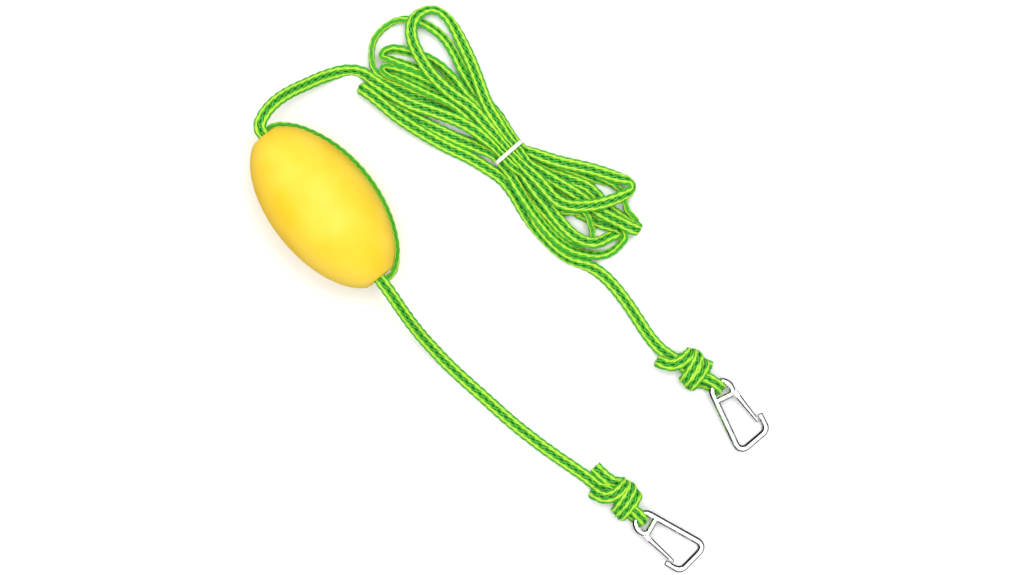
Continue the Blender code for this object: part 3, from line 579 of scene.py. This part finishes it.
def build_float_turn():
    """Out of the bore, back up outside the float and into the bore again."""
    across, up = float_direction(0, 1, 0), (0, 0, 1)
    rows = [((50, 1.6, -3.4), across), ((64, 0.2, -4.3), across), ((70.4, 0.6, -4.8), up),
            ((73.3, 3.8, -5.4), up), ((73.4, 9.0, -6.4), up), ((70.8, 14.4, -8.4), up)]
    for x in (62, 48, 32, 16, 0, -16, -32, -48, -62):
        azimuth = TURN_AZIMUTH + TURN_DROP * (x / 62)**2
        rise = (float_radius(x + 0.1) - float_radius(x - 0.1)) / 0.2
        size = sqrt(1 + rise**2)
        reach = float_radius(x) + (HALF_T + 0.2) / size
        out = (x - (HALF_T + 0.2) * rise / size, reach * cos(azimuth), reach * sin(azimuth))
        rows.append((out, float_direction(0, -sin(azimuth), cos(azimuth))))
    rows += [((-70.8, 14.4, -8.4), up), ((-73.4, 9.0, -6.4), up), ((-73.3, 3.8, -5.4), up),
             ((-70.4, 0.6, -4.8), up), ((-64, 0.2, -4.3), across), ((-50, -1.6, -3.4), across)]
    places = np.array([float_point(*p) for p, _ in rows])
    table = np.hstack([places, tensor([d for _, d in rows])])
    path = smooth_path(table, RING)
    points, six = path[:, :3], smoothed(path[:, 3:], 6)
    count = len(points)
    pieces = braid("float_turn", points, widths(points, six), np.full(count, HALF_W),
                   np.full(count, HALF_T), np.arange(count) * RING, LOOKS)
    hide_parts("line_float_turn")
    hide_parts("line_float_turn")


# ---------------------------------------------------------------- hank
def waist_point(slot, reach):
    across, height = SLOTS[slot]
    ahead = np.array([cos(TIE_HEADING), sin(TIE_HEADING)])
    side = np.array([-ahead[1], ahead[0]])
    return (*(TIE_CENTRE + ahead * reach + side * across), height, 0)


def through(slot, way):
    """One pass through the tie; way 1 goes from the big fan to the small fan."""
    return [waist_point(slot, way * reach) for reach in (-WAIST_REACH, 0, WAIST_REACH)]


def hank_rows():
    rows = UPPER_RUN + ENTRY + through("entry", 1)
    for loop, slot, way in ((LOOP_S, "sc", -1), (LOOP_C, "cg", 1), (LOOP_G, "ga", -1),
                            (LOOP_A, "af", 1), (LOOP_F, "fb", -1), (LOOP_B, "bi", 1),
                            (LOOP_I, "id", -1), (LOOP_D, "dj", 1), (LOOP_J, "je", -1)):
        rows += loop + through(slot, way)
    return rows + LOOP_E + EXIT + LOWER_RUN


SQUEEZED, SQUEEZE_FADE = 5, 26       # fully squeezed this near the tie, and free over this
OUTSIDE_TIE, OUTSIDE_FADE = 13, 5    # a strand that passes outside the tie keeps its section


def sections(points):
    """Half width and half thickness: the line is rounder where the tie squeezes it."""
    offset = points[:, :2] - TIE_CENTRE
    across = offset @ np.array([-sin(TIE_HEADING), cos(TIE_HEADING)])
    t = np.maximum((np.linalg.norm(offset, axis=1) - SQUEEZED) / SQUEEZE_FADE,
                   (-across - OUTSIDE_TIE) / OUTSIDE_FADE)
    t = np.clip(t, 0, 1)
    t = t * t * (3 - 2 * t)
    return (WAIST_HALF_W + (HALF_W - WAIST_HALF_W) * t,
            WAIST_HALF_T + (HALF_T - WAIST_HALF_T) * t)


SETTLE_STEP = 4.0                    # spacing of the points that settle
SETTLE_ROUNDS = 260
UPPER_RUN_END_X, LOWER_RUN_START_Y = -150, 58    # the free runs beyond these stay where they are
SINK = 0.06                          # how far a free point falls in a round
GIVE = 0.93                          # share of the section that neighbours may not enter
PRESS = 0.24                         # share of an overlap that is pushed out in a round


def settle(rows):
    """Let the folded line settle: points fall, rest on the floor and on each other's sides."""
    table = smooth_path(rolled(rows), SETTLE_STEP)
    target, six = table[:, :3].copy(), smoothed(table[:, 3:], 3)
    points = target.copy()
    count = len(points)
    half_w, half_t = sections(target)
    held = np.zeros(count, bool)
    held[:int(np.argmax(target[:, 0] > UPPER_RUN_END_X))] = True
    held[target[:, 1] < LOWER_RUN_START_Y] = True
    away = np.linalg.norm(target[:, :2] - TIE_CENTRE, axis=1)
    pull = np.where(away < 8, 0.35, 0.05)
    order = np.arange(count)
    apart = np.abs(order[:, None] - order[None, :]) > 5
    for _ in range(SETTLE_ROUNDS):
        wide = widths(points, six)
        thick = np.cross(tangents(points), wide)
        offset = points[None, :, :] - points[:, None, :]
        gap = np.linalg.norm(offset, axis=2)
        i, j = np.nonzero(apart & (gap < 2 * HALF_W) & (order[:, None] < order[None, :]))
        away_ij = offset[i, j] / np.maximum(gap[i, j], 1e-6)[:, None]

        def reach(k):
            return np.hypot(half_w[k] * np.sum(away_ij * wide[k], 1),
                            half_t[k] * np.sum(away_ij * thick[k], 1))

        overlap = GIVE * (reach(i) + reach(j)) - gap[i, j]
        press = overlap > 0
        shift = (PRESS * overlap[press])[:, None] * away_ij[press] * np.array([0.6, 0.6, 1.3])
        push, hits = np.zeros_like(points), np.zeros(count)
        np.add.at(push, i[press], -shift)
        np.add.at(push, j[press], shift)
        np.add.at(hits, i[press], 1)
        np.add.at(hits, j[press], 1)
        push /= np.maximum(1, hits / 2)[:, None]
        moved = points + push
        moved[:, 2] -= SINK
        drift = moved - target
        drift[:, :2] *= (1 - pull)[:, None]
        drift[:, 2] *= 1 - 0.25 * pull
        drift = 0.7 * drift + 0.3 * smoothed(drift, 1)
        moved = target + drift
        lowest = np.hypot(half_w * wide[:, 2], half_t * thick[:, 2])
        moved[:, 2] = np.maximum(moved[:, 2], lowest)
        points = np.where(held[:, None], target, moved)
    return np.hstack([points, six])


# ---------------------------------------------------------------- knots and eye loops
EYE_APPROACH = 5.5                   # the two legs of an eye loop are set this far before the wire


def knot_matrix(which):
    facts = KNOTS[which]
    c, s = cos(facts["heading"]), sin(facts["heading"])
    return np.array([[c, -s, 0], [s, c, 0], [0, 0, 1]]), np.array([*facts["centre"], 0])


def knot_rows(which):
    """From the line's end through the knot, round the hook's eye and back into the knot."""
    turn, centre = knot_matrix(which)
    squeeze = KNOTS[which]["half"] / KNOT_HALF
    swing = np.array([*HOOKS[which]["at"], 0])
    out = (swing - centre) / np.linalg.norm(swing - centre)
    side = np.array([-out[1], out[0], 0])
    wire = swing - out * (SWING_A - EYE_MID_A + EYE_R)     # the middle of the eye's top wire
    wire_z = SWING_Z + np.linalg.norm(swing - wire) * sin(HOOK_TILT)
    bend = WIRE_D / 2 + EYE_HALF_T + 0.25
    names = {"x": turn @ np.array([1, 0, 0]), "y": turn @ np.array([0, 1, 0]),
             "d": turn @ np.array([0.7, -0.7, 0])}

    def placed(rows):
        return [(turn @ np.array([x * (squeeze if abs(x) <= KNOT_HALF else 1), y, 0]) + centre
                 + np.array([0, 0, z]), names[way]) for x, y, z, way in rows]

    rows = placed(KNOT_IN) + placed([(12.0, 0.8, 10.4, "y")])
    rows += [(wire - out * EYE_APPROACH + side * 2.0 + np.array([0, 0, wire_z + bend - 0.3]), side)]
    for i in range(7):
        a = pi / 2 - pi * i / 6
        rows.append((wire + out * (bend + 1.2) * cos(a) + side * 1.8 * cos(pi * i / 6)
                     + np.array([0, 0, wire_z + bend * sin(a)]), side))
    rows += [(wire - out * EYE_APPROACH - side * 2.6 + np.array([0, 0, wire_z - bend + 0.1]), side)]
    rows += placed(KNOT_WRAPS) + placed(KNOT_TAILS[which])
    return np.hstack([np.array([p for p, _ in rows]), tensor([d for _, d in rows])]), wire


EYE_NEAR, EYE_FADE = 6.0, 14.0       # the line is narrow this near the wire, and widens over this


def finished_run(rows, wire):
    """Even points, widths and sections along one whole line, tighter through the hook's eye."""
    path = smooth_path(rows, RING)
    points, six = path[:, :3], smoothed(path[:, 3:], 8)
    points = smoothed(points, 3)
    half_w, half_t = sections(points)
    near = np.linalg.norm(points[:, :2] - wire[:2], axis=1)
    t = np.clip((near - EYE_NEAR) / EYE_FADE, 0, 1)
    t = t * t * (3 - 2 * t)
    half_w = np.minimum(half_w, EYE_HALF_W + (HALF_W - EYE_HALF_W) * t)
    half_t = np.minimum(half_t, EYE_HALF_T + (HALF_T - EYE_HALF_T) * t)
    step = np.concatenate([[0], np.cumsum(np.linalg.norm(np.diff(points, axis=0), axis=1))])
    return points, widths(points, six), half_w, half_t, step


INSIDE_BORE = 58.0                   # where a free line starts, from the float's middle
TAIL_STRETCH = 60.0                  # the end of a run where no cut is looked for
FAR = 1e9


def split_run(name, which, run, cut, nodes):
    """The free line and its knot, as separate pieces of one braid."""
    points, wide, half_w, half_t, step = run
    free = slice(0, cut + 1)
    knot = slice(cut, len(points))
    line = braid(name, points[free], wide[free], half_w[free], half_t[free], step[free], LOOKS)
    tied = braid(f"knot_{which}", points[knot], wide[knot], half_w[knot], half_t[knot],
                 step[knot], LOOKS)
    for piece in line:
        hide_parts(*nodes)
    knot_nodes = [f"knot_{which}", f"line_eye_loop_{which}"]
    if which == "lower":
        knot_nodes.append("line_tail_lower")
    for piece in tied:
        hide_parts(*knot_nodes)


def cut_at(run, place):
    """Index on a run nearest to a place in plan, not counting its last stretch, the knot's tail."""
    away = np.linalg.norm(run[0][:, :2] - place[:2], axis=1)
    return int(np.argmin(np.where(run[4] < run[4][-1] - TAIL_STRETCH, away, FAR)))


def build_tow_line():
    knot, wire = knot_rows("upper")
    start = [(*float_point(-INSIDE_BORE, 0, BORE_PASS_R), 0)]
    hank = settle(start + hank_rows())
    rows = np.vstack([hank, knot])
    run = finished_run(rows, wire)
    split_run("tow_line", "upper", run, cut_at(run, hank[-1]),
              ["line_upper_run", "line_hank", "line_lower_run"])


def build_leader():
    knot, wire = knot_rows("lower")
    start = [(*float_point(INSIDE_BORE, 0, BORE_PASS_R), 0)]
    free = smooth_path(rolled(start + LEADER), 6.0)
    run = finished_run(np.vstack([free, knot]), wire)
    split_run("leader", "lower", run, cut_at(run, free[-1]), ["line_leader"])


def build_tie():
    """A narrow band drawn tight round the hank's waist."""
    width, thick, half_span, low, high, corner = 3.0, 1.1, 13.6, 0.25, 18.0, 5.5
    mid, rise = (low + high) / 2, (high - low) / 2
    ahead = np.array([cos(TIE_HEADING), sin(TIE_HEADING), 0])
    side = np.array([-ahead[1], ahead[0], 0])
    outline = []
    for sx, sy, begin in ((1, 1, 0), (-1, 1, pi / 2), (-1, -1, pi), (1, -1, 1.5 * pi)):
        for i in range(9):
            a = begin + pi / 2 * i / 8
            outline.append((sx * (half_span - corner), sy * (rise - corner), cos(a), sin(a)))
    section = [(-width / 2, 0.3), (-width / 2 + 0.35, 0), (width / 2 - 0.35, 0), (width / 2, 0.3),
               (width / 2, thick - 0.3), (width / 2 - 0.35, thick), (-width / 2 + 0.35, thick),
               (-width / 2, thick - 0.3)]
    vertices = []
    for cx, cy, nx, ny in outline:
        for a, depth in section:
            r = corner - depth
            vertices.append(np.array([*TIE_CENTRE, mid]) + ahead * a + side * (cx + nx * r)
                            + np.array([0, 0, cy + ny * r]))
    count, sides = len(outline), len(section)
    faces = [(i * sides + k, i * sides + (k + 1) % sides,
              (i + 1) % count * sides + (k + 1) % sides, (i + 1) % count * sides + k)
             for i in range(count) for k in range(sides)]
    band = add_mesh("hank_tie_band", vertices, faces, [LOOKS["tie"]])
    band.data.set_sharp_from_angle(angle=radians(40))
    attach(band, ROOT)
    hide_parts("hank_tie")


def hook_place(which):
    """From a hook's own frame, in millimetres, to world."""
    facts = HOOKS[which]
    heading = Vector((cos(facts["leg"]), sin(facts["leg"]), 0))
    face = Vector((0, 0, facts["face"]))
    turn = Matrix((heading, face.cross(heading), face)).transposed().to_4x4()
    tilt = Matrix.Rotation(facts["face"] * HOOK_TILT, 4, "Y")
    return Matrix.Translation(Vector((*facts["at"], SWING_Z))) @ turn @ tilt


def build_gate(which, sides=28):
    """The gate's rounded bar with its spring bore, and the two cheeks of its fork."""
    turns = np.arange(sides) * 2 * pi / sides
    round_y = np.sign(np.cos(turns)) * np.abs(np.cos(turns)) ** 0.85
    round_z = np.sign(np.sin(turns)) * np.abs(np.sin(turns)) ** 0.85
    half_t, tip, root = GATE_T / 2, GATE_TIP_W / 2, GATE_HINGE_W / 2
    rings = [(SPRING_BORE_END, 0.02, 0.02), (SPRING_BORE_END, SPRING_BORE_R, SPRING_BORE_R),
             (GATE_SLOT_END, SPRING_BORE_R, SPRING_BORE_R),
             (GATE_SLOT_END, 0.9 * root, 0.94 * half_t),
             (GATE_SLOT_END + 0.3, 0.97 * root, half_t)]
    rings += [(x, 0.97 * root + (tip - 0.97 * root) * (x - 3.3) / (GATE_L - 4.3), half_t)
              for x in np.linspace(5, GATE_L - 1, 12)]
    rings += [(GATE_L - 0.4, 0.85 * tip, 0.92 * half_t), (GATE_L, 0.5 * tip, 0.7 * half_t),
              (GATE_L, 0.02, 0.02)]
    bar = np.vstack([np.column_stack([np.full(sides, x), w * round_y, h * round_z])
                     for x, w, h in rings])
    faces = [ring_faces(len(rings), sides, 0)]
    reach = np.where(np.cos(turns) > 0, GATE_SLOT_END + 0.2, root)
    outer_x = np.where(np.cos(turns) > 0, np.minimum(reach, root * np.abs(np.cos(turns))
                       / np.maximum(np.abs(np.sin(turns)), 1e-6)), root * np.cos(turns))
    outer_y = np.where((np.cos(turns) > 0) & (outer_x >= reach), reach * np.tan(turns),
                       root * np.where(np.cos(turns) > 0, np.sign(np.sin(turns)), np.sin(turns)))
    parts, count = [bar], len(bar)
    for up in (1, -1):
        levels = [(SLOT_HALF, 1.0), (half_t - 0.35, 1.0), (half_t, 0.84)]
        cheek = [np.column_stack([outer_x * grow, outer_y * grow, np.full(sides, up * z)])
                 for z, grow in levels]
        cheek += [np.column_stack([PIN_HOLE_R * np.cos(turns), PIN_HOLE_R * np.sin(turns),
                                   np.full(sides, up * z)]) for z in (half_t, SLOT_HALF)]
        faces.append(ring_faces(5, sides, count))
        last, k = count + 4 * sides, np.arange(sides)
        faces.append(np.stack([last + k, last + (k + 1) % sides, count + (k + 1) % sides,
                               count + k], axis=1))
        parts += cheek
        count += 5 * sides
    place = (hook_place(which) @ Matrix.Translation((PIVOT_A - SWING_A, PIVOT_B - SWING_B, 0))
             @ Matrix.Rotation(GATE_HEADING, 4, "Z"))
    to_world = np.array(place)
    vertices = np.vstack(parts) @ to_world[:3, :3].T + to_world[:3, 3]
    gate = add_mesh(f"gate_bar_{which}", vertices, np.vstack(faces), [LOOKS["steel"]])
    mend_normals(gate)
    gate.data.set_sharp_from_angle(angle=radians(40))
    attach(gate, f"gate_{which}")
    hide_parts(f"hook_gate_{which}")


def mend_normals(item):
    """Turn every face of a closed mesh outwards."""
    builder = bmesh.new()
    builder.from_mesh(item.data)
    bmesh.ops.recalc_face_normals(builder, faces=builder.faces)
    builder.to_mesh(item.data)
    builder.free()


build_float()
build_float_turn()
build_tow_line()
build_leader()
build_tie()
build_gate("upper")
build_gate("lower")

for node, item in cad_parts.items():
    if node.startswith("hook_gate_spring") or node.startswith("hook_gate_plunger"):
        item.data.materials.clear()
        item.data.materials.append(LOOKS["spring"])
    elif node.startswith("hook_"):
        item.data.materials.clear()
        item.data.materials.append(LOOKS["steel"])


# ---------------------------------------------------------------- floor and light
def floor_material():
    made, tree, shader = new_material("floor_paper_painted_dark_reflection")
    place = tree.nodes.new("ShaderNodeTexCoord")
    noise = tree.nodes.new("ShaderNodeTexNoise")
    noise.inputs["Scale"].default_value = 3.0
    ramp = tree.nodes.new("ShaderNodeValToRGB")
    ramp.color_ramp.elements[0].color = (0.93, 0.93, 0.93, 1)
    ramp.color_ramp.elements[1].color = (0.95, 0.95, 0.95, 1)
    tree.links.new(place.outputs["Object"], noise.inputs["Vector"])
    tree.links.new(noise.outputs["Fac"], ramp.inputs["Fac"])
    # Painted reflection: in glossy rays the floor turns near black, so the polished steel shows
    # painted dark reflection lines at its edges.
    mirrored = tree.nodes.new("ShaderNodeLightPath")
    painted_dark_reflection = tree.nodes.new("ShaderNodeMixRGB")
    painted_dark_reflection.inputs["Color2"].default_value = (0.03, 0.03, 0.03, 1)
    tree.links.new(mirrored.outputs["Is Glossy Ray"], painted_dark_reflection.inputs["Fac"])
    tree.links.new(ramp.outputs["Color"], painted_dark_reflection.inputs["Color1"])
    tree.links.new(painted_dark_reflection.outputs["Color"], shader.inputs["Base Color"])
    shader.inputs["Roughness"].default_value = 0.9
    shader.inputs["Specular IOR Level"].default_value = 0.1
    return made


floor = add_mesh("floor", [(-6000, -6000, 0), (6000, -6000, 0), (6000, 6000, 0), (-6000, 6000, 0)],
                 [(0, 1, 2, 3)], [floor_material()])


def area_light(name, at, size, power):
    data = bpy.data.lights.new(name, "AREA")
    data.shape = "SQUARE"
    data.size = size
    data.energy = power
    light = bpy.data.objects.new(name, data)
    light.location = at
    light.rotation_euler = (-Vector(at)).to_track_quat("-Z", "Y").to_euler()
    bpy.context.scene.collection.objects.link(light)


area_light("key", (0.55, 0.75, 2.4), 1.0, 22.0)
area_light("fill", (-0.7, -0.2, 2.4), 1.2, 8.0)


def world_light():
    """An even white room with a dark band low down, which polished steel reflects as thin lines."""
    world = bpy.data.worlds.new("studio")
    bpy.context.scene.world = world
    world.use_nodes = True
    nodes, links = world.node_tree.nodes, world.node_tree.links
    place = nodes.new("ShaderNodeTexCoord")
    split = nodes.new("ShaderNodeSeparateXYZ")
    ramp = nodes.new("ShaderNodeValToRGB")
    bands = ramp.color_ramp
    bands.elements[0].position, bands.elements[0].color = 0.0, (0.9, 0.9, 0.9, 1)
    bands.elements[1].position, bands.elements[1].color = 1.0, (1.0, 1.0, 1.0, 1)
    for at, level in ((0.01, 0.02), (0.02, 0.01), (0.45, 0.01), (0.57, 1.0)):
        band = bands.elements.new(at)
        band.color = (level, level, level, 1)
    links.new(place.outputs["Generated"], split.inputs["Vector"])
    links.new(split.outputs["Z"], ramp.inputs["Fac"])
    links.new(ramp.outputs["Color"], nodes["Background"].inputs["Color"])
    nodes["Background"].inputs["Strength"].default_value = 1.4


world_light()
